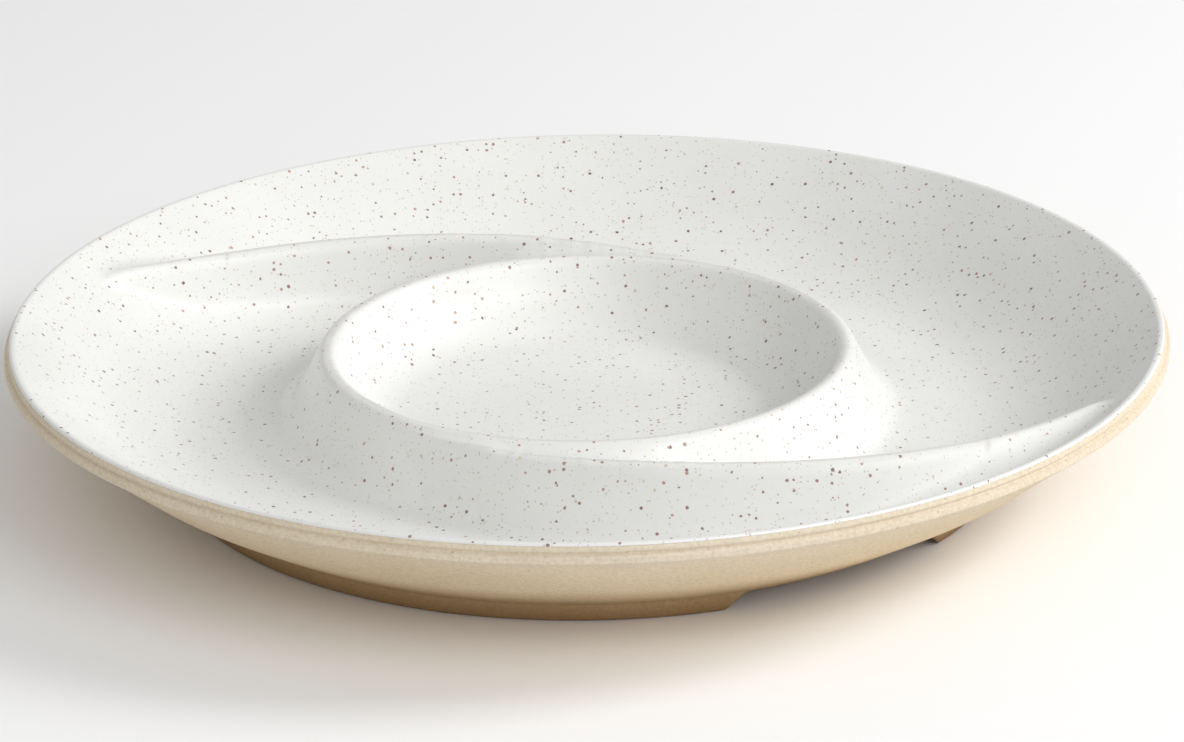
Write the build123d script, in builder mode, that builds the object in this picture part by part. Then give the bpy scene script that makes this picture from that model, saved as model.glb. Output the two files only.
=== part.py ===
# Chip and dip server: a round stoneware dish with a dip bowl in its middle, and two swirl
# ridges that run from the bowl out to the rim and part the chips into two crescents.
#
# Frame: +Z up, z = 0 is the table, the origin is on the dish's axis, and the front is -Y.
# Azimuths are in degrees from +X, anticlockwise seen from above. Sizes are millimetres.
# Surface sizes are those of the glazed dish, so the clay under the glaze lies a coat lower.
#
# Each feature of the clay is a solid of its own, and the features meet face to face where a
# potter would lute them on. The glaze is one coat over the floor, the bowl and the ridges.
import os
from math import acos, asin, atan2, cos, degrees, hypot, radians, sin, tan

from build123d import *

# --- dish ---
lip_radius = 183.3          # outside of the glazed lip
lip_height = 46.0           # top of the lip
lip_round = 2.2             # radius of the rounded lip
floor_height = 14.5         # floor of the compartments and of the dip bowl
floor_radius = 122.0        # where the flat floor ends
wall_curve = 55.0           # radius of the curve from the floor up to the wall
wall_thickness = 6.0
belly_slope = 31.0          # slope of the belly where it comes down to the foot
groove_drop = 3.0           # groove under the rim band, below the top of the lip
groove_depth = 0.5
bead_proud = 0.5            # how far the bead stands out of the belly
bead_length = 1.6           # from the bead's crest down to the plain belly

# --- foot ring and its two finger notches ---
foot_height = 6.1
foot_width = 9.0
foot_draft = 1.6            # how far each side of the foot leans in
foot_round = 1.2
notch_azimuth = -55.0
notch_count = 2
notch_width = 70.0          # at the top of the notch
notch_flare = 5.8           # how much wider each side of the notch is on the table

# --- dip bowl wall ---
bowl_radius = 82.1          # middle of the bowl's rounded rim
bowl_height = 36.9          # top of that rim
bowl_rim_width = 4.4        # between the corners that the rim's rounding takes off
bowl_rim_round = 2.9
bowl_inner_foot = 18.1      # from the middle of the rim in to the foot of the wall's inside
bowl_outer_foot = 13.9      # and out to the foot of its outside
bowl_wall_lean = 12.0       # lean of the inside of the wall, just under its rim

# --- swirl ridges, each an arc that leaves the bowl's rim and dies into the wall ---
ridge_count = 2
ridge_drop = 0.3            # crest, below the top of the bowl's rim
ridge_crest_width = 4.4     # between the corners that the crest's rounding takes off
ridge_crest_round = 2.9
ridge_inner_foot = 9.0      # from the crest line in to the foot, on the arc's inside
ridge_outer_foot = 11.0
ridge_arc = 170.0           # plan radius of the long arc
ridge_gap = 5.2             # the long arc's nearest point to the bowl's rim circle
ridge_azimuth = -126.1      # azimuth of that nearest point, on the front ridge
ridge_start_gap = 0.5       # the lead-in arc starts this far outside the bowl's rim circle
ridge_lead_in = 16.5        # angle on the long arc from that point to the lead-in arc
ridge_end_inset = 7.3       # the ridge ends inside the wall, this far in from the lip

# --- glaze ---
glaze_thickness = 0.5
glaze_edge = 55.0           # where the glaze stops, in degrees up the outside of the lip

# --- construction ---
tool_height = 2.0 * lip_height   # top of the space used to trim pieces to the dish's inside
root_depth = 3.0                 # how far an untrimmed piece runs below the floor

clay_floor = floor_height - glaze_thickness
lip_centre = (lip_radius - lip_round, lip_height - lip_round)

# The wall is the straight line that touches the floor curve and the lip. The curve can't be
# larger than the one that would fill the whole wall by itself.
wall_run = lip_centre[0] - floor_radius
wall_rise = lip_centre[1] - floor_height
widest_curve = (wall_run**2 + wall_rise**2 - lip_round**2) / (2.0 * (lip_round + wall_rise))
floor_curve = min(wall_curve, 0.95 * widest_curve)
curve_centre = (floor_radius, floor_height + floor_curve)
centre_run = curve_centre[0] - lip_centre[0]
centre_rise = curve_centre[1] - lip_centre[1]
centre_angle = degrees(atan2(centre_rise, centre_run))
touch_angle = degrees(asin((floor_curve + lip_round) / hypot(centre_run, centre_rise)))
wall_slope = centre_angle - (180.0 - touch_angle)

# The belly curves down from the wall, so where it meets the foot it has to be the shallower.
belly_end = min(belly_slope, 0.8 * wall_slope)


def polar(radius, azimuth, centre=(0.0, 0.0)):
    """The point at this radius and azimuth about a centre."""
    x = centre[0] + radius * cos(radians(azimuth))
    y = centre[1] + radius * sin(radians(azimuth))
    return (x, y)


def upright(azimuth, centre=(0.0, 0.0)):
    """A vertical plane through a centre: its x runs out at the azimuth and its y runs up."""
    outward = polar(1.0, azimuth)
    across = polar(1.0, azimuth - 90.0)
    origin = (centre[0], centre[1], 0.0)
    return Plane(origin=origin, x_dir=(*outward, 0.0), z_dir=(*across, 0.0))


# Points that the clay section and the foot share.
bead_crest = polar(wall_thickness - lip_round, wall_slope - 90.0, lip_centre)
bead_foot = polar(bead_length, wall_slope + 180.0, bead_crest)
belly_radius = floor_curve + wall_thickness
belly_low = polar(belly_radius, belly_end - 90.0, curve_centre)
foot_edge = belly_low[0] - (belly_low[1] - foot_height) / tan(radians(belly_end))

# The clay lip and the glazed lip share a centre, and so do the two floor curves.
clay_lip = lip_round - glaze_thickness
groove = (lip_centre[0] + clay_lip - groove_depth, lip_height - groove_drop)

# --- dish body: floor, wall, lip, groove, bead and belly ---
with BuildPart() as dish_body:
    with BuildSketch(Plane.XZ):
        with BuildLine():
            clay_curve = floor_curve + glaze_thickness
            Line((0.0, clay_floor), (floor_radius, clay_floor))
            rise = CenterArc(curve_centre, clay_curve, -90.0, wall_slope)
            lip_arc = CenterArc(lip_centre, clay_lip, 90.0 + wall_slope, -90.0 - wall_slope)
            Line(rise @ 1, lip_arc @ 0)
            Line(lip_arc @ 1, groove)
            ThreePointArc(groove, (bead_crest[0] + bead_proud, bead_crest[1]), bead_foot)
            belly = CenterArc(
                curve_centre, belly_radius, wall_slope - 90.0, belly_end - wall_slope
            )
            Line(bead_foot, belly @ 0)
            Line(belly @ 1, (foot_edge, foot_height))
            Line((foot_edge, foot_height), (0.0, foot_height))
            Line((0.0, foot_height), (0.0, clay_floor))
        make_face()
    revolve(axis=Axis.Z)
dish_body.part.label = "dish_body"

# --- space over the clay, which trims the pieces that stand in the dish ---
with BuildPart() as space_over_clay:
    with BuildSketch(Plane.XZ):
        with BuildLine():
            Line((0.0, clay_floor), (floor_radius, clay_floor))
            wall_foot = CenterArc(curve_centre, clay_curve, -90.0, wall_slope)
            lip_top = CenterArc(
                lip_centre, clay_lip, 90.0 + wall_slope, glaze_edge - 90.0 - wall_slope
            )
            Line(wall_foot @ 1, lip_top @ 0)
            glaze_end = polar(lip_round + root_depth, glaze_edge, lip_centre)
            Polyline(
                lip_top @ 1,
                glaze_end,
                (glaze_end[0], tool_height),
                (0.0, tool_height),
                (0.0, clay_floor),
            )
        make_face()
    revolve(axis=Axis.Z)

# --- foot ring, one arc from each notch to the next ---
notch_step = 360.0 / notch_count
foot_names = ("foot_arc_back", "foot_arc_front", "foot_arc_side")
foot_arcs = []
for number in range(notch_count):
    first_notch = notch_azimuth + number * notch_step
    with BuildPart() as foot_arc:
        with BuildSketch(upright(first_notch)) as foot_section:
            with BuildLine():
                Polyline(
                    (foot_edge, foot_height),
                    (foot_edge - foot_draft, 0.0),
                    (foot_edge - foot_draft - foot_width, 0.0),
                    (foot_edge - 2.0 * foot_draft - foot_width, foot_height),
                    close=True,
                )
            make_face()
            fillet(foot_section.vertices().group_by(Axis.Y)[0], foot_round)
        revolve(axis=Axis.Z, revolution_arc=notch_step)
        for notch in (first_notch, first_notch + notch_step):
            with BuildSketch(upright(notch + 90.0)):
                with BuildLine():
                    Polyline(
                        (-notch_width / 2.0, foot_height),
                        (-notch_width / 2.0 - notch_flare, 0.0),
                        (notch_width / 2.0 + notch_flare, 0.0),
                        (notch_width / 2.0, foot_height),
                        close=True,
                    )
                make_face()
            extrude(amount=-2.0 * foot_edge, mode=Mode.SUBTRACT)
    foot_arc.part.label = foot_names[number]
    foot_arcs.append(foot_arc.part)

# --- dip bowl wall blank ---
bowl_inside = bowl_radius - bowl_inner_foot
bowl_outside = bowl_radius + bowl_outer_foot


def bowl_wall_blank(coat):
    """The bowl's wall, a coat under its glazed surface, with its root still in the floor."""
    with BuildPart() as blank:
        with BuildSketch(Plane.XZ) as section:
            with BuildLine():
                rim = Line(
                    (bowl_radius + bowl_rim_width / 2.0, bowl_height),
                    (bowl_radius - bowl_rim_width / 2.0, bowl_height),
                )
                down = (-sin(radians(bowl_wall_lean)), -cos(radians(bowl_wall_lean)))
                inside = TangentArc(rim @ 1, (bowl_inside, floor_height), tangent=down)
                Polyline(
                    inside @ 1,
                    (bowl_inside, floor_height - root_depth),
                    (bowl_outside, floor_height - root_depth),
                    (bowl_outside, floor_height),
                    rim @ 0,
                )
            make_face()
            fillet(section.vertices().group_by(Axis.Y)[-1], bowl_rim_round)
            offset(amount=-coat, mode=Mode.REPLACE)
        revolve(axis=Axis.Z)
    return blank.part


# --- swirl ridge arcs: a long one, and a shorter lead-in that starts along the bowl's rim ---
ridge_height = bowl_height - ridge_drop
ridge_end_radius = lip_radius - ridge_end_inset
long_reach = ridge_arc - bowl_radius - ridge_gap
long_centre = polar(long_reach, ridge_azimuth + 180.0)
lead_angle = ridge_azimuth + ridge_lead_in
join_point = polar(ridge_arc, lead_angle, long_centre)
inward = polar(1.0, lead_angle + 180.0)
join_inward = join_point[0] * inward[0] + join_point[1] * inward[1]
join_radius = hypot(*join_point)
start_radius = bowl_radius + ridge_start_gap
lead_arc = (join_radius**2 - start_radius**2) / (-2.0 * (join_inward + start_radius))
lead_centre = polar(lead_arc, lead_angle + 180.0, join_point)
lead_start = degrees(atan2(-lead_centre[1], -lead_centre[0]))
end_angle = ridge_azimuth + degrees(
    acos((long_reach**2 + ridge_arc**2 - ridge_end_radius**2) / (2.0 * long_reach * ridge_arc))
)
ridge_legs = (
    (lead_centre, lead_arc, lead_start, lead_angle),
    (long_centre, ridge_arc, lead_angle, end_angle),
)


def ridge_blank(coat):
    """The front ridge, a coat under its glazed surface, with its root still in the floor."""
    with BuildPart() as blank:
        for centre, radius, start, end in ridge_legs:
            with BuildSketch(upright(start, centre)) as section:
                with BuildLine():
                    Polyline(
                        (radius - ridge_inner_foot, floor_height - root_depth),
                        (radius - ridge_inner_foot, floor_height),
                        (radius - ridge_crest_width / 2.0, ridge_height),
                        (radius + ridge_crest_width / 2.0, ridge_height),
                        (radius + ridge_outer_foot, floor_height),
                        (radius + ridge_outer_foot, floor_height - root_depth),
                        close=True,
                    )
                make_face()
                fillet(section.vertices().group_by(Axis.Y)[-1], ridge_crest_round)
                offset(amount=-coat, mode=Mode.REPLACE)
            leg_axis = Axis((centre[0], centre[1], 0.0), (0.0, 0.0, 1.0))
            revolve(axis=leg_axis, revolution_arc=end - start)
    return blank.part


# --- dip bowl wall and swirl ridges, trimmed to the dish's floor and wall ---
bowl_clay = bowl_wall_blank(glaze_thickness)
bowl_glazed = bowl_wall_blank(0.0)
ridge_clay = ridge_blank(glaze_thickness)
ridge_glazed = ridge_blank(0.0)

with BuildPart() as dip_bowl_wall:
    add(bowl_clay)
    add(space_over_clay.part, mode=Mode.INTERSECT)
dip_bowl_wall.part.label = "dip_bowl_wall"

ridge_names = ("swirl_ridge_front", "swirl_ridge_back", "swirl_ridge_side")
ridges = []
for number in range(ridge_count):
    with BuildPart() as ridge:
        add(ridge_clay, rotation=(0.0, 0.0, number * 360.0 / ridge_count))
        add(space_over_clay.part, mode=Mode.INTERSECT)
        add(bowl_clay, mode=Mode.SUBTRACT)
    ridge.part.label = ridge_names[number]
    ridges.append(ridge.part)

# --- glaze: the glazed shapes of the dish, bowl and ridges, less the clay under them ---
with BuildPart() as glazed_dish:
    with BuildSketch(Plane.XZ):
        with BuildLine():
            Line((0.0, floor_height), (floor_radius, floor_height))
            glazed_foot = CenterArc(curve_centre, floor_curve, -90.0, wall_slope)
            glazed_lip = CenterArc(lip_centre, lip_round, 90.0 + wall_slope, -90.0 - wall_slope)
            Line(glazed_foot @ 1, glazed_lip @ 0)
            under = CenterArc(curve_centre, floor_curve + lip_round, -90.0, wall_slope)
            Polyline(glazed_lip @ 1, lip_centre, under @ 1)
            Polyline(under @ 0, (0.0, floor_height - lip_round), (0.0, floor_height))
        make_face()
    revolve(axis=Axis.Z)

# The clay and the glazed shapes lie only a coat apart, so each set is joined whole before
# one is cut from the other.
glazed_whole = glazed_dish.part + bowl_glazed
standing_clay = bowl_clay
for number in range(ridge_count):
    turn = number * 360.0 / ridge_count
    glazed_whole += ridge_glazed.rotate(Axis.Z, turn)
    standing_clay += ridge_clay.rotate(Axis.Z, turn)
glaze_coat = (glazed_whole & space_over_clay.part) - standing_clay
glaze_coat.label = "glaze_coat"

# --- one STEP file for each piece ---
os.makedirs("parts", exist_ok=True)
pieces = [dish_body.part, dip_bowl_wall.part, glaze_coat, *foot_arcs, *ridges]
for piece in pieces:
    export_step(piece, f"parts/{piece.label}.step")
    print(piece.label, round(piece.volume), "mm3", piece.is_valid)
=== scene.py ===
import math

import bmesh
import bpy
import numpy as np
from mathutils import Matrix, Vector


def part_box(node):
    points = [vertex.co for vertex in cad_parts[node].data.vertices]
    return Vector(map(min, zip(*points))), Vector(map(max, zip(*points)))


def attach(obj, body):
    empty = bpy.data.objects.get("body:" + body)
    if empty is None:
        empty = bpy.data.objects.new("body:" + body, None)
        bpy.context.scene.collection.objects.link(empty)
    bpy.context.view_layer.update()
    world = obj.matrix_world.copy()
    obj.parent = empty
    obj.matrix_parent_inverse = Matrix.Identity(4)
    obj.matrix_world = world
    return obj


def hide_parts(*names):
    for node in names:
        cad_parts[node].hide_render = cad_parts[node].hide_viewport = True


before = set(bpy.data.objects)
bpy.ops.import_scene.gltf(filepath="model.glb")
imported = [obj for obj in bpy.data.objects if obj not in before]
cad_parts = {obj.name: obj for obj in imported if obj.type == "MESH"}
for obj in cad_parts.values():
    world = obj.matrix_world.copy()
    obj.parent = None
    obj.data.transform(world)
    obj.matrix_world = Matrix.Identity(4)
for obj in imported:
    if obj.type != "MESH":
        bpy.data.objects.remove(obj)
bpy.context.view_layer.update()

# ---------------------------------------------------------------------------------------------
# Camera: a long lens at the height of someone standing at the table, looking down on the
# server from its front, tilted by under a degree.
# ---------------------------------------------------------------------------------------------
camera_aim = Vector((0.00148, 0.0, 0.02677))
camera_distance = 1.43411
camera_elevation = math.radians(21.34)
camera_tilt = math.radians(-0.89)
camera_lens = 136.8

looking = Vector((0.0, math.cos(camera_elevation), -math.sin(camera_elevation)))
level = Vector((1.0, 0.0, 0.0))
upward = Vector((0.0, math.sin(camera_elevation), math.cos(camera_elevation)))
camera_right = level * math.cos(camera_tilt) + upward * math.sin(camera_tilt)
camera_up = upward * math.cos(camera_tilt) - level * math.sin(camera_tilt)

camera_data = bpy.data.cameras.new("camera")
camera_data.sensor_width = 36.0
camera_data.lens = camera_lens
camera = bpy.data.objects.new("camera", camera_data)
turn = Matrix((camera_right, camera_up, -looking)).transposed().to_4x4()
camera.matrix_world = Matrix.Translation(camera_aim - looking * camera_distance) @ turn
bpy.context.collection.objects.link(camera)
bpy.context.scene.camera = camera

# ---------------------------------------------------------------------------------------------
# Clay body: the dish's floor, flared wall, rim band, bead and belly with the foot ring under
# it, all one piece of pale buff stoneware. It is pressed over a mould, turned outside, and
# fired bare below the rim. Two finger notches are cut out of the foot.
# ---------------------------------------------------------------------------------------------
MM = 0.001                                        # one millimetre in the scene's metres
foot_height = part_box("foot_arc_front")[1].z
coat = 0.5 * MM                                   # glaze over the clay
clay_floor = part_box("dip_bowl_wall")[0].z
floor_height = clay_floor + coat
lip_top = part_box("glaze_coat")[1].z
bead_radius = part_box("dish_body")[1].x
lip_round = 2.2 * MM
lip_centre = (bead_radius - 3.0 * MM, lip_top - lip_round)
floor_radius = 122.0 * MM
wall_curve = 55.0 * MM
wall_thickness = 6.0 * MM
curve_centre = (floor_radius, floor_height + wall_curve)
centres = (curve_centre[0] - lip_centre[0], curve_centre[1] - lip_centre[1])
touch = math.asin((wall_curve + lip_round) / math.hypot(*centres))
wall_slope = math.atan2(centres[1], centres[0]) - (math.pi - touch)
wall_down = wall_slope - math.pi / 2.0            # from the curve's centre to the wall
belly_slope = math.radians(31.0)


def arc(centre, radius, start, end, steps):
    """Points along an arc of a section, with its angles in radians from the outward direction."""
    angles = np.linspace(start, end, steps + 1)
    return [(centre[0] + radius * math.cos(a), centre[1] + radius * math.sin(a)) for a in angles]


def rounded(corners, radii, steps=6):
    """A section's corners, with each one between the first and last rounded by its radius."""
    points = [corners[0]]
    for before, corner, after, radius in zip(corners, corners[1:], corners[2:], radii):
        back = (Vector(before) - Vector(corner)).normalized()
        ahead = (Vector(after) - Vector(corner)).normalized()
        half = back.angle(ahead) / 2.0
        reach = radius / math.tan(half)
        middle = Vector(corner) + (back + ahead).normalized() * radius / math.sin(half)
        first = (Vector(corner) + back * reach - middle).normalized()
        last = (Vector(corner) + ahead * reach - middle).normalized()
        points += [tuple(middle + first.slerp(last, s / steps) * radius) for s in range(steps + 1)]
    return points + [corners[-1]]


def dotted(points, spacing):
    """The same section with points added so that no run is longer than the spacing."""
    result = [points[0]]
    for start, end in zip(points, points[1:]):
        count = max(1, math.ceil(math.dist(start, end) / spacing))
        for k in range(1, count + 1):
            share = k / count
            result.append(tuple(a + (b - a) * share for a, b in zip(start, end)))
    return result


def spun(section, steps):
    """A solid of revolution from its section, given as (radius, height) points."""
    mesh = bmesh.new()
    ring = [mesh.verts.new((r, 0.0, z)) for r, z in section]
    edges = [mesh.edges.new(pair) for pair in zip(ring, ring[1:])]
    bmesh.ops.spin(
        mesh, geom=ring + edges, cent=(0, 0, 0), axis=(0, 0, 1), angle=2.0 * math.pi,
        steps=steps, use_merge=True, use_duplicate=False,
    )
    bmesh.ops.remove_doubles(mesh, verts=mesh.verts, dist=1e-6)
    return mesh


def finished(name, mesh, material):
    """A smooth-shaded object from a bmesh, with its faces turned outwards."""
    bmesh.ops.recalc_face_normals(mesh, faces=mesh.faces)
    data = bpy.data.meshes.new(name)
    mesh.to_mesh(data)
    mesh.free()
    data.shade_smooth()
    data.materials.append(material)
    piece = bpy.data.objects.new(name, data)
    bpy.context.collection.objects.link(piece)
    return piece


def smooth_step(low, high, value):
    """0 below low and 1 above high, easing in between."""
    share = np.clip((value - low) / (high - low), 0.0, 1.0)
    return share * share * (3.0 - 2.0 * share)


# The inside's shape: heights over the floor plan of the dish, the bowl and the two ridges, with
# a ball rolled along each radial line to round the crests and fill the valleys.
bowl_radius = 82.1 * MM
bowl_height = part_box("dip_bowl_wall")[1].z + coat
bowl_rim_half = 2.2 * MM
bowl_floor_radius = 64.0 * MM
bowl_foot_radius = 96.0 * MM
bowl_clear = bowl_radius + 4.4 * MM               # nearest that a crest's mesh comes to the bowl
bowl_lean = math.radians(12.0)
ridge_height = 37.2 * MM
ridge_crest_half = 2.2 * MM
ridge_inner_foot = 9.0 * MM
ridge_outer_foot = 11.0 * MM
long_arc = 170.0 * MM
long_azimuth = math.radians(-126.1)
long_reach = long_arc - bowl_radius - 5.2 * MM
long_centre = -long_reach * np.array((math.cos(long_azimuth), math.sin(long_azimuth)))
join_angle = long_azimuth + math.radians(16.5)
join_point = long_centre + long_arc * np.array((math.cos(join_angle), math.sin(join_angle)))
join_inward = -np.array((math.cos(join_angle), math.sin(join_angle)))
start_radius = bowl_radius + 0.5 * MM
lead_arc = (join_point @ join_point - start_radius**2) / (
    -2.0 * (join_point @ join_inward + start_radius)
)
lead_centre = join_point + lead_arc * join_inward
join_azimuth = math.atan2(join_point[1], join_point[0])
start_azimuth = math.atan2(-lead_centre[1], -lead_centre[0])
tip_azimuth = math.radians(-20.0)
crest_round = 3.4 * MM
valley_round = 9.0 * MM
bowl_valley_round = 15.0 * MM


def folded(azimuth):
    """The azimuth on the front half that matches this one, since half a turn changes nothing."""
    return (azimuth % math.pi) - math.pi


def crest_radius(azimuth):
    """How far the front ridge's crest line is from the axis at an azimuth."""
    radius = np.empty_like(azimuth)
    for centre, reach, here in (
        (lead_centre, lead_arc, azimuth < join_azimuth),
        (long_centre, long_arc, azimuth >= join_azimuth),
    ):
        along = centre[0] * np.cos(azimuth[here]) + centre[1] * np.sin(azimuth[here])
        radius[here] = along + np.sqrt(along**2 - centre @ centre + reach**2)
    return radius


def dish_surface(radius):
    """The glazed floor and wall. Past the lip the wall's straight line runs on."""
    curve_end = floor_radius + wall_curve * math.sin(wall_slope)
    inside = np.clip(radius - floor_radius, 0.0, curve_end - floor_radius)
    curved = curve_centre[1] - np.sqrt(wall_curve**2 - inside**2)
    return curved + np.clip(radius - curve_end, 0.0, None) * math.tan(wall_slope)


def bowl_surface(radius):
    """The bowl's wall: curved inside, flat on its rim, and straight outside."""
    rim_inside = bowl_radius - bowl_rim_half
    fall = bowl_height - floor_height
    run = rim_inside - bowl_floor_radius
    chord = math.hypot(run, fall)
    chord_lean = math.atan2(run, fall)
    bend = chord / (2.0 * math.sin(chord_lean - bowl_lean))
    middle_r = rim_inside - bend * math.cos(bowl_lean)
    middle_z = bowl_height + bend * math.sin(bowl_lean)
    inward = np.clip(radius - middle_r, 0.0, bend)
    inner = middle_z - np.sqrt(bend**2 - inward**2)
    inner = np.where(radius >= rim_inside, bowl_height, inner)
    steep = fall / (bowl_foot_radius - bowl_radius - bowl_rim_half)
    outer = bowl_height - (radius - bowl_radius - bowl_rim_half) * steep
    return np.minimum(np.minimum(inner, outer), bowl_height)


def ridge_surface(radius, azimuth):
    """The front ridge: a flat crest with a sloping face on each side of its arc."""
    x = radius * np.cos(azimuth)
    y = radius * np.sin(azimuth)
    side = (x - long_centre[0]) * join_inward[1] - (y - long_centre[1]) * join_inward[0]
    off_long = np.hypot(x - long_centre[0], y - long_centre[1]) - long_arc
    off_lead = np.hypot(x - lead_centre[0], y - lead_centre[1]) - lead_arc
    off = np.where(side > 0.0, off_long, off_lead)
    # The crest climbs out of the bowl's rim, runs level, lifts with the wall and dies into it.
    degrees = np.degrees(azimuth)
    crest = ridge_height - 2.2 * MM * (1.0 - smooth_step(-125.0, -72.0, degrees))
    crest = crest - 22.0 * MM * (1.0 - smooth_step(-168.0, -138.0, degrees))
    crest = crest + 2.1 * MM * np.clip((degrees + 40.0) / 16.0, 0.0, 1.6) ** 2
    crest = crest - 5.0 * MM * smooth_step(-24.0, -15.0, degrees)
    fall = ridge_height - floor_height
    inner = (-off - ridge_crest_half) * fall / (ridge_inner_foot - ridge_crest_half)
    outer = (off - ridge_crest_half) * fall / (ridge_outer_foot - ridge_crest_half)
    return crest - np.clip(np.maximum(inner, outer), 0.0, None)


def rolled(heights, spacing, ball, over):
    """Heights along radial lines, with valleys filled by a ball over them or crests rounded."""
    reach = int(ball / spacing)
    cap = [math.sqrt(ball**2 - (k * spacing) ** 2) for k in range(-reach, reach + 1)]
    sign = 1.0 if over else -1.0
    result = sign * heights
    for pick, lift in ((np.maximum, 1.0), (np.minimum, -1.0)):
        padded = np.pad(result, ((0, 0), (reach, reach)), mode="edge")
        width = result.shape[1]
        layers = (padded[:, k:k + width] + lift * cap[k] for k in range(2 * reach + 1))
        result = next(layers)
        for layer in layers:
            result = pick(result, layer)
    return sign * result


glaze_turns = 400
line_azimuth = folded(np.arange(glaze_turns) * 2.0 * math.pi / glaze_turns)
line_spacing = 0.25 * MM
line_radius = np.arange(-20.0 * MM, 205.0 * MM, line_spacing)
away = np.abs(line_radius)[None, :]
plain = np.maximum(dish_surface(away), bowl_surface(away))
whole = np.maximum(plain, ridge_surface(away, line_azimuth[:, None]))
whole = rolled(whole, line_spacing, crest_round, over=False)
whole = rolled(whole, line_spacing, valley_round, over=True)
plain = rolled(plain, line_spacing, crest_round, over=False)
plain = rolled(plain, line_spacing, bowl_valley_round, over=True)
whole = np.where(away < bowl_radius, plain, whole)


def inside_height(radius, azimuth):
    """The height of the glazed inside at one place."""
    turn = (azimuth / (2.0 * math.pi) * glaze_turns) % glaze_turns
    low = int(turn)
    share = turn - low
    first = np.interp(radius, line_radius, whole[low % glaze_turns])
    second = np.interp(radius, line_radius, whole[(low + 1) % glaze_turns])
    return float(first + (second - first) * share)


belly_radius = wall_curve + wall_thickness
belly_low = arc(curve_centre, belly_radius, belly_slope - math.pi / 2, 0.0, 1)[0]
foot_edge = belly_low[0] - (belly_low[1] - foot_height) / math.tan(belly_slope)
foot_draft = 1.6 * MM
foot_width = 9.0 * MM
bead_crest = arc(lip_centre, wall_thickness - lip_round, wall_down, 0.0, 1)[0]
bead_length = 2.4 * MM
groove_depth = 0.5 * MM
groove_drop = 3.0 * MM
down_belly = (-math.cos(wall_slope), -math.sin(wall_slope))
clay_lip = lip_round - coat
groove = (lip_centre[0] + clay_lip - groove_depth, lip_top - groove_drop)
band_foot = (groove[0] + 0.15 * MM, groove[1] + 0.45 * MM)
bead_top = (bead_radius - 0.35 * MM, groove[1] - 0.7 * MM)
bead_low = (bead_radius - 0.1 * MM, bead_crest[1] - 0.4 * MM)
belly_start = tuple(at + bead_length * step for at, step in zip(bead_crest, down_belly))

foot_corners = [
    (0.0, foot_height),
    (foot_edge - 2.0 * foot_draft - foot_width, foot_height),
    (foot_edge - foot_draft - foot_width, 0.0),
    (foot_edge - foot_draft, 0.0),
    (foot_edge - 0.1 * MM, foot_height),
    belly_low,
]
foot_radii = (3.0 * MM, 1.4 * MM, 1.4 * MM, 2.0 * MM)
clay_section = dotted(rounded(foot_corners, foot_radii), 2.0 * MM)
clay_section += arc(curve_centre, belly_radius, belly_slope - math.pi / 2, wall_down, 6)[1:]
rim_corners = [
    clay_section[-1], belly_start, bead_low, bead_top, groove, band_foot,
    (lip_centre[0] + clay_lip, lip_centre[1]),
]
rim_radii = (0.9 * MM, 0.75 * MM, 0.75 * MM, 0.2 * MM, 0.2 * MM)
clay_section += dotted(rounded(rim_corners, rim_radii, 5), 3.0 * MM)[1:]
clay_section += arc(lip_centre, clay_lip, 0.0, wall_slope + math.pi / 2, 12)[1:]
inside_run = arc(curve_centre, wall_curve + coat, wall_down, -math.pi / 2, 8)
clay_section += dotted([clay_section[-1], *inside_run, (0.0, clay_floor)], 3.0 * MM)[1:]

clay_mesh = spun(clay_section, 300)

# The notches: the foot is lifted to the underside over each one, down sloping ends.
notch_azimuth = math.radians(-55.0)
notch_half = 35.0 * MM
notch_flare = 5.8 * MM


def soft_min(a, b, soft):
    """The lower of two heights, eased over a soft stretch where they cross."""
    blend = np.clip(soft - np.abs(a - b), 0.0, None) / soft
    return np.minimum(a, b) - blend * blend * soft / 4.0


# The spin's lines are first drawn closer together at the notches' ends.
even_turn = (-90.0, -50.0, -20.0, 20.0, 50.0, 90.0)
drawn_turn = (-90.0, -20.5, -13.0, 13.0, 20.5, 90.0)
for vertex in clay_mesh.verts:
    x, y, z = vertex.co
    radius = math.hypot(x, y)
    turned = math.degrees(math.atan2(y, x) - notch_azimuth)
    half_turns = round(turned / 180.0)
    drawn = float(np.interp(turned - 180.0 * half_turns, even_turn, drawn_turn))
    azimuth = notch_azimuth + math.radians(drawn + 180.0 * half_turns)
    x, y = radius * math.cos(azimuth), radius * math.sin(azimuth)
    vertex.co = (x, y, z)
    if radius < lip_centre[0] - 3.0 * MM and z > float(dish_surface(radius)) - 1.0 * MM:
        # The clay stays under the glaze, with its ridges kept low where the mesh is coarse.
        glazed = inside_height(radius, azimuth)
        ringed = float(np.interp(radius, line_radius, plain[0]))
        vertex.co.z = min(glazed, max(ringed, glazed - 4.0 * MM)) - 2.0 * coat
    if z < foot_height and radius > foot_edge - 0.02:
        across = abs(y * math.cos(notch_azimuth) - x * math.sin(notch_azimuth))
        along = abs(x * math.cos(notch_azimuth) + y * math.sin(notch_azimuth))
        if along > across:
            ramp = (notch_half + notch_flare - across) / notch_flare * foot_height
            lifted = soft_min(-soft_min(-ramp, 0.0, 1.2 * MM), foot_height, 2.0 * MM)
            vertex.co.z = max(z, float(lifted))


def noise_at(nodes, links, coordinates, scale, detail, roughness):
    """A noise texture on the given coordinates, and its value socket."""
    noise = nodes.new("ShaderNodeTexNoise")
    noise.inputs["Scale"].default_value = scale
    noise.inputs["Detail"].default_value = detail
    noise.inputs["Roughness"].default_value = roughness
    links.new(coordinates, noise.inputs["Vector"])
    return noise.outputs["Fac"]


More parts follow.
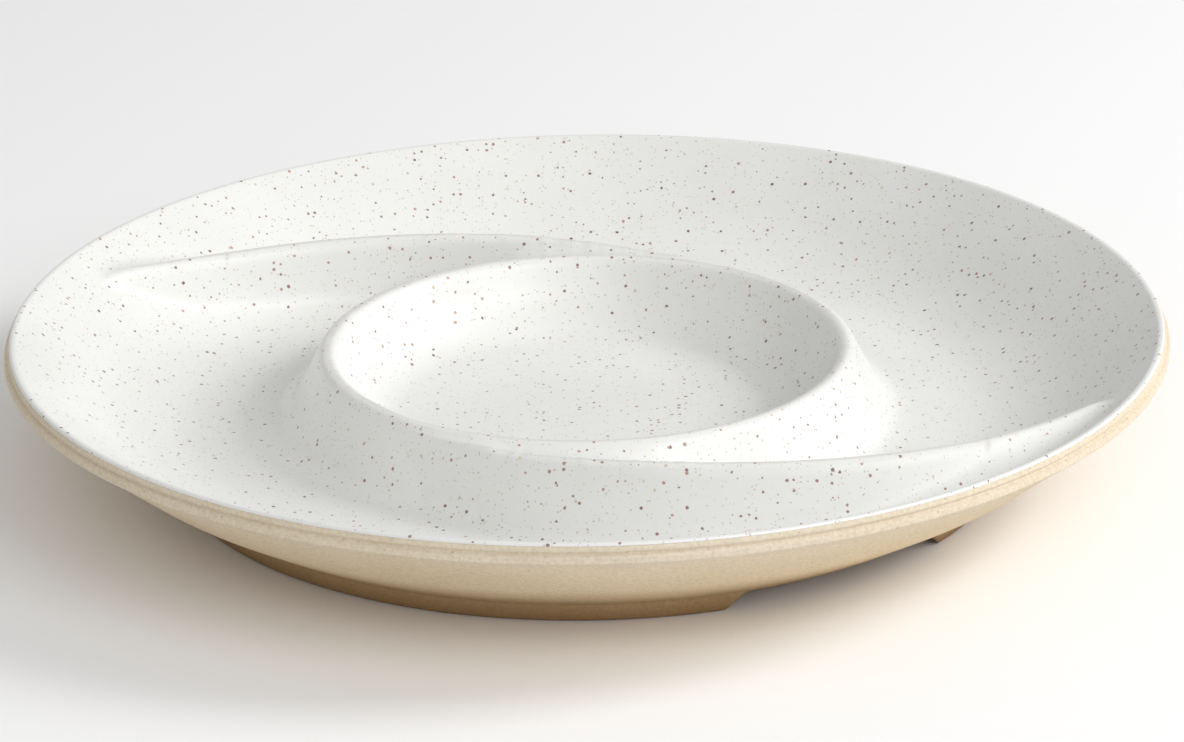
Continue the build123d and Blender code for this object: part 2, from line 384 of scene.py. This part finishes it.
def ramp_of(nodes, links, value, stops):
    """A colour ramp of (position, colour) stops, driven by a value."""
    ramp = nodes.new("ShaderNodeValToRGB")
    ramp.color_ramp.elements[0].position = stops[0][0]
    ramp.color_ramp.elements[0].color = (*stops[0][1], 1.0)
    ramp.color_ramp.elements[1].position = stops[-1][0]
    ramp.color_ramp.elements[1].color = (*stops[-1][1], 1.0)
    for position, colour in stops[1:-1]:
        ramp.color_ramp.elements.new(position).color = (*colour, 1.0)
    links.new(value, ramp.inputs["Fac"])
    return ramp.outputs["Color"]


def mixed(nodes, links, share, first, second, mode="MIX"):
    """A colour mix. Each input is a socket or a plain value."""
    mix = nodes.new("ShaderNodeMix")
    mix.data_type = "RGBA"
    mix.blend_type = mode
    for socket, value in ((mix.inputs[0], share), (mix.inputs[6], first), (mix.inputs[7], second)):
        if isinstance(value, bpy.types.NodeSocket):
            links.new(value, socket)
        elif isinstance(value, tuple):
            socket.default_value = (*value, 1.0)
        else:
            socket.default_value = value
    return mix.outputs[2]


def maths(nodes, links, first, second, operation="ADD"):
    """One operation on two values, each a socket or a number."""
    step = nodes.new("ShaderNodeMath")
    step.operation = operation
    for socket, value in zip(step.inputs, (first, second)):
        if isinstance(value, bpy.types.NodeSocket):
            links.new(value, socket)
        else:
            socket.default_value = value
    return step.outputs[0]


def eased(nodes, links, value, low, high, from_low, to_high):
    """A value eased from one number to another as it goes from low to high."""
    slope = nodes.new("ShaderNodeMapRange")
    slope.interpolation_type = "SMOOTHSTEP"
    slope.inputs["To Min"].default_value = from_low
    slope.inputs["To Max"].default_value = to_high
    links.new(value, slope.inputs["Value"])
    for socket, limit in ((slope.inputs["From Min"], low), (slope.inputs["From Max"], high)):
        if isinstance(limit, bpy.types.NodeSocket):
            links.new(limit, socket)
        else:
            socket.default_value = limit
    return slope.outputs["Result"]


def share_along(nodes, links, value, low, high):
    """How far a value has come from low to high, from 0 to 1."""
    share = nodes.new("ShaderNodeMapRange")
    share.inputs["From Min"].default_value = low
    share.inputs["From Max"].default_value = high
    links.new(value, share.inputs["Value"])
    return share.outputs["Result"]


def speckle_group():
    """Round spots of random size: where they are, and a random shade for each."""
    group = bpy.data.node_groups.new("speckles", "ShaderNodeTree")
    face = group.interface
    face.new_socket("Coordinates", in_out="INPUT", socket_type="NodeSocketVector")
    face.new_socket("Scale", in_out="INPUT", socket_type="NodeSocketFloat")
    face.new_socket("Spot Size", in_out="INPUT", socket_type="NodeSocketFloat")
    face.new_socket("Mask", in_out="OUTPUT", socket_type="NodeSocketFloat")
    face.new_socket("Shade", in_out="OUTPUT", socket_type="NodeSocketFloat")
    nodes, links = group.nodes, group.links
    given = nodes.new("NodeGroupInput")
    result = nodes.new("NodeGroupOutput")
    wobble = nodes.new("ShaderNodeTexNoise")
    wobble.inputs["Scale"].default_value = 2200.0
    wobble.inputs["Detail"].default_value = 2.0
    links.new(given.outputs["Coordinates"], wobble.inputs["Vector"])
    shift = nodes.new("ShaderNodeVectorMath")
    shift.operation = "MULTIPLY_ADD"
    shift.inputs[1].default_value = (0.0007, 0.0007, 0.0007)
    links.new(wobble.outputs["Color"], shift.inputs[0])
    links.new(given.outputs["Coordinates"], shift.inputs[2])
    cells = nodes.new("ShaderNodeTexVoronoi")
    links.new(shift.outputs[0], cells.inputs["Vector"])
    links.new(given.outputs["Scale"], cells.inputs["Scale"])
    chance = nodes.new("ShaderNodeSeparateColor")
    links.new(cells.outputs["Color"], chance.inputs["Color"])
    squared = maths(nodes, links, chance.outputs["Red"], chance.outputs["Red"], "MULTIPLY")
    reach = maths(nodes, links, given.outputs["Scale"], given.outputs["Spot Size"], "MULTIPLY")
    reach = maths(nodes, links, reach, squared, "MULTIPLY")
    solid = maths(nodes, links, reach, 0.72, "MULTIPLY")
    mask = eased(nodes, links, cells.outputs["Distance"], solid, reach, 1.0, 0.0)
    links.new(mask, result.inputs["Mask"])
    links.new(chance.outputs["Green"], result.inputs["Shade"])
    return group


speckles = speckle_group()


def speckled(nodes, links, place, scale, size):
    """One layer of speckles: its mask and shade sockets."""
    layer = nodes.new("ShaderNodeGroup")
    layer.node_tree = speckles
    layer.inputs["Scale"].default_value = scale
    layer.inputs["Spot Size"].default_value = size
    links.new(place, layer.inputs["Coordinates"])
    return layer.outputs["Mask"], layer.outputs["Shade"]


def bare_stoneware():
    """Buff clay, fired matte: mottled by the kiln, grainy, with fine pits and dark grog, and
    painted shade towards the foot.
    """
    material = bpy.data.materials.new("bare_clay")
    material.use_nodes = True
    nodes, links = material.node_tree.nodes, material.node_tree.links
    shader = nodes["Principled BSDF"]
    place = nodes.new("ShaderNodeTexCoord").outputs["Object"]
    cloud = noise_at(nodes, links, place, 14.0, 4.0, 0.6)
    grain = noise_at(nodes, links, place, 900.0, 2.0, 0.6)
    pits = noise_at(nodes, links, place, 2600.0, 1.0, 0.5)
    buff, cream = (0.72, 0.585, 0.395), (0.79, 0.655, 0.465)
    body = ramp_of(nodes, links, cloud, ((0.3, buff), (0.7, cream)))
    grainy = ramp_of(nodes, links, grain, ((0.3, (0.86, 0.84, 0.80)), (0.62, (1.0, 1.0, 1.0))))
    colour = mixed(nodes, links, 1.0, body, grainy, "MULTIPLY")

    # Painted shade by height: darker towards the foot, where the belly turns under near the floor,
    # and paler and cooler on the bead under the rim.
    height = nodes.new("ShaderNodeSeparateXYZ")
    links.new(place, height.inputs[0])
    rise = share_along(nodes, links, height.outputs["Z"], 0.0, 0.042)
    # Painted shade towards the floor, as a ramp over the height.
    foot_shade_and_bead_tint = ramp_of(nodes, links, rise, (
        (0.0, (0.36, 0.26, 0.17)), (0.12, (0.58, 0.47, 0.35)), (0.3, (0.86, 0.80, 0.72)),
        (0.5, (1.0, 1.0, 1.0)), (0.85, (1.0, 1.04, 1.12)), (1.0, (0.95, 1.01, 1.14)),
    ))
    colour = mixed(nodes, links, 1.0, colour, foot_shade_and_bead_tint, "MULTIPLY")
    mask, shade = speckled(nodes, links, place, 420.0, 0.00042)
    tone = ramp_of(nodes, links, shade, ((0.0, (0.20, 0.12, 0.07)), (1.0, (0.45, 0.30, 0.16))))
    colour = mixed(nodes, links, maths(nodes, links, mask, 0.6, "MULTIPLY"), colour, tone)
    links.new(colour, shader.inputs["Base Color"])
    shader.inputs["Roughness"].default_value = 0.82
    shader.inputs["Specular IOR Level"].default_value = 0.25
    bump = nodes.new("ShaderNodeBump")
    bump.inputs["Strength"].default_value = 0.25
    bump.inputs["Distance"].default_value = 0.00025
    links.new(maths(nodes, links, grain, pits), bump.inputs["Height"])
    links.new(bump.outputs["Normal"], shader.inputs["Normal"])
    return material


bare_clay = bare_stoneware()
clay_body = finished("clay_body", clay_mesh, bare_clay)
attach(clay_body, "root")
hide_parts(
    "dish_body", "foot_arc_front", "foot_arc_back", "dip_bowl_wall",
    "swirl_ridge_front", "swirl_ridge_back",
)

# ---------------------------------------------------------------------------------------------
# Glaze coat: a satin off-white glaze with iron speckles, poured over the floor, the dip bowl
# and the two swirl ridges. It rolls over the lip and stops just outside it.
# ---------------------------------------------------------------------------------------------
# Columns of the mesh follow the bowl's rim and the ridge's crest line, so both stay crisp.
crest_line = np.maximum(
    crest_radius(np.clip(line_azimuth, start_azimuth, tip_azimuth)), bowl_clear
)
past_tip = np.where(line_azimuth > tip_azimuth, line_azimuth, line_azimuth + math.pi) - tip_azimuth
back_share = smooth_step(0.0, start_azimuth + math.pi - tip_azimuth, past_tip)
returning = (line_azimuth > tip_azimuth) | (line_azimuth < start_azimuth)
tip_radius = crest_radius(np.array([tip_azimuth]))[0]
swing_back = tip_radius + (bowl_clear - tip_radius) * back_share
crest_line = np.where(returning, swing_back, crest_line)
wall_end = lip_centre[0] - lip_round * math.sin(wall_slope)
rim_out = bowl_radius + 3.9 * MM
foot_out = rim_out + np.minimum(14.0 * MM, 0.45 * (crest_line - rim_out))
ridge_in = crest_line - np.minimum(16.0 * MM, 0.6 * (crest_line - foot_out))
ridge_out = crest_line + np.minimum(18.0 * MM, 0.6 * (wall_end - crest_line))
crest_in = crest_line - np.minimum(3.0 * MM, 0.5 * (crest_line - ridge_in))
crest_out = crest_line + np.minimum(3.0 * MM, 0.5 * (ridge_out - crest_line))
bands = (
    (0.0, 6), (57.0 * MM, 16), (bowl_radius - 3.0 * MM, 12), (rim_out, 12), (foot_out, 10),
    (ridge_in, 14), (crest_in, 10), (crest_out, 14), (ridge_out, 16), (wall_end, 0),
)
columns = []
for (start, count), (end, _) in zip(bands, bands[1:]):
    for k in range(count):
        columns.append(np.broadcast_to(start + (end - start) * (k / count), crest_line.shape))
columns.append(np.broadcast_to(wall_end, crest_line.shape))
columns = np.array(columns)
column_height = np.array([
    [np.interp(r, line_radius, whole[line]) for line, r in enumerate(column)] for column in columns
])

# Over the lip the coat follows the lip's round and thins out to its edge.
lip_steps = 12
glaze_edge = math.radians(55.0)
lip_angles = np.linspace(wall_slope + math.pi / 2, glaze_edge, lip_steps + 1)[1:]
thins_over = math.radians(22.0)
past_thinning = glaze_edge + thins_over - lip_angles
lip_reach = lip_round - 0.38 * MM * smooth_step(0.0, thins_over, past_thinning)
lip_radius = lip_centre[0] + lip_reach * np.cos(lip_angles)
lip_height = lip_centre[1] + lip_reach * np.sin(lip_angles)

wide = len(columns) + lip_steps
glaze_mesh = bmesh.new()
bmesh.ops.create_grid(glaze_mesh, x_segments=wide - 1, y_segments=glaze_turns, size=0.5)
for vertex in glaze_mesh.verts:
    column = round((vertex.co.x + 0.5) * (wide - 1))
    line = round((vertex.co.y + 0.5) * glaze_turns) % glaze_turns
    azimuth = line * 2.0 * math.pi / glaze_turns
    if column < len(columns):
        radius = columns[column, line]
        height = column_height[column, line]
    else:
        radius = lip_radius[column - len(columns)]
        height = lip_height[column - len(columns)]
    vertex.co = (radius * math.cos(azimuth), radius * math.sin(azimuth), height)


def near_circle(nodes, links, flat, centre, radius):
    """How far a place is from a circle seen from above."""
    apart = nodes.new("ShaderNodeVectorMath")
    apart.operation = "DISTANCE"
    apart.inputs[1].default_value = (centre[0], centre[1], 0.0)
    links.new(flat, apart.inputs[0])
    off = maths(nodes, links, apart.outputs["Value"], radius, "SUBTRACT")
    return maths(nodes, links, off, 0.0, "ABSOLUTE")


def speckled_glaze():
    """Satin off-white glaze: iron spots of several sizes, faint clouding, painted shade along the
    crests, and a grey ring at the lip's edge.
    """
    material = bpy.data.materials.new("speckled_glaze")
    material.use_nodes = True
    nodes, links = material.node_tree.nodes, material.node_tree.links
    shader = nodes["Principled BSDF"]
    place = nodes.new("ShaderNodeTexCoord").outputs["Object"]
    cloud = noise_at(nodes, links, place, 22.0, 3.0, 0.5)
    greyer, whiter = (0.775, 0.775, 0.750), (0.815, 0.815, 0.795)
    body = ramp_of(nodes, links, cloud, ((0.3, greyer), (0.7, whiter)))

    # Painted shade: a grey-brown line along the bowl's rim and the ridges' crests, for the dark
    # reflection on their rounding. The glaze also greys on a ring just inside the lip's outer
    # edge.
    parts = nodes.new("ShaderNodeSeparateXYZ")
    links.new(place, parts.inputs[0])
    flat = nodes.new("ShaderNodeCombineXYZ")
    links.new(parts.outputs["X"], flat.inputs["X"])
    links.new(parts.outputs["Y"], flat.inputs["Y"])
    from_bowl = near_circle(nodes, links, flat.outputs[0], (0.0, 0.0), bowl_radius)
    from_front = near_circle(nodes, links, flat.outputs[0], long_centre, long_arc)
    from_back = near_circle(nodes, links, flat.outputs[0], -long_centre, long_arc)
    from_lip = near_circle(nodes, links, flat.outputs[0], (0.0, 0.0), bead_radius - 0.8 * MM)
    from_ridge = maths(nodes, links, from_front, from_back, "MINIMUM")
    crest = maths(nodes, links, from_bowl, from_ridge, "MINIMUM")
    raised = share_along(nodes, links, parts.outputs["Z"], 0.0335, 0.0362)
    uneven = noise_at(nodes, links, place, 130.0, 3.0, 0.6)
    from_axis = near_circle(nodes, links, flat.outputs[0], (0.0, 0.0), 0.0)
    short_of_wall = eased(nodes, links, from_axis, 0.158, 0.167, 1.0, 0.0)
    # Painted shade along the crests, only at their height and short of the rim wall.
    painted_crest_shade = eased(nodes, links, crest, 0.0, 0.0016, 0.5, 0.0)
    for share in (raised, uneven, short_of_wall):
        painted_crest_shade = maths(nodes, links, painted_crest_shade, share, "MULTIPLY")
    lip_thin = eased(nodes, links, from_lip, 0.0, 0.0006, 0.75, 0.0)
    crest_shade_and_lip_grey = maths(nodes, links, painted_crest_shade, lip_thin, "MAXIMUM")
    # The painted crest shade and the lip's grey ring, mixed into the glaze's colour.
    colour = mixed(nodes, links, crest_shade_and_lip_grey, body, (0.50, 0.46, 0.40))

    # Three layers of iron spots: small faint ones, a few tan ones, and dark red-brown ones.
    for scale, size, strength, dark, light in (
        (900.0, 0.00043, 0.50, (0.30, 0.26, 0.22), (0.60, 0.55, 0.47)),
        (300.0, 0.00064, 0.55, (0.45, 0.29, 0.13), (0.64, 0.50, 0.28)),
        (440.0, 0.00070, 0.90, (0.13, 0.045, 0.035), (0.46, 0.26, 0.18)),
    ):
        mask, shade = speckled(nodes, links, place, scale, size)
        tone = ramp_of(nodes, links, shade, ((0.0, dark), (1.0, light)))
        share = maths(nodes, links, mask, strength, "MULTIPLY")
        colour = mixed(nodes, links, share, colour, tone)
    links.new(colour, shader.inputs["Base Color"])
    shader.inputs["Roughness"].default_value = 0.31
    shader.inputs["Specular IOR Level"].default_value = 0.5
    bump = nodes.new("ShaderNodeBump")
    bump.inputs["Strength"].default_value = 0.12
    bump.inputs["Distance"].default_value = 0.0002
    ripple = noise_at(nodes, links, place, 260.0, 2.0, 0.5)
    links.new(ripple, bump.inputs["Height"])
    links.new(bump.outputs["Normal"], shader.inputs["Normal"])
    return material


bmesh.ops.remove_doubles(glaze_mesh, verts=glaze_mesh.verts, dist=1e-6)
glaze_finish = speckled_glaze()
glaze_skin = finished("glaze_skin", glaze_mesh, glaze_finish)
backing = glaze_skin.modifiers.new("coat", "SOLIDIFY")
backing.thickness = 0.8 * coat
backing.offset = -1.0
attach(glaze_skin, "root")
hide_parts("glaze_coat")

# ---------------------------------------------------------------------------------------------
# Floor and light: a seamless pale floor, with a soft window at the right and two large white
# cards in front and to the side. The floor lies a hair under the foot, so the two don't flicker.
# ---------------------------------------------------------------------------------------------
floor_mesh = bmesh.new()
bmesh.ops.create_grid(floor_mesh, x_segments=1, y_segments=1, size=6.0)
bmesh.ops.translate(floor_mesh, verts=floor_mesh.verts, vec=(0.0, 0.0, -0.1 * MM))
floor_paint = bpy.data.materials.new("studio_floor")
floor_paint.use_nodes = True
floor_shader = floor_paint.node_tree.nodes["Principled BSDF"]
floor_shader.inputs["Base Color"].default_value = (0.93, 0.93, 0.93, 1.0)
floor_shader.inputs["Roughness"].default_value = 0.9
studio_floor = finished("studio_floor", floor_mesh, floor_paint)

for name, size, power, place in (
    ("window_light", 0.8, 30.5, (2.0, 0.2, 1.3)),
    ("side_card", 1.5, 21.5, (1.5, -1.7, 1.6)),
    ("front_card", 1.5, 8.0, (0.0, -2.4, 1.5)),
):
    lamp = bpy.data.lights.new(name, "AREA")
    lamp.size = size
    lamp.energy = power
    light = bpy.data.objects.new(name, lamp)
    light.location = place
    light.rotation_euler = (-Vector(place)).to_track_quat("-Z", "Y").to_euler()
    bpy.context.collection.objects.link(light)

world = bpy.data.worlds.new("studio")
world.use_nodes = True
daylight = world.node_tree.nodes["Background"]
daylight.inputs["Color"].default_value = (1.0, 1.0, 1.0, 1.0)
daylight.inputs["Strength"].default_value = 0.52
bpy.context.scene.world = world
bpy.context.scene.view_settings.view_transform = "Standard"
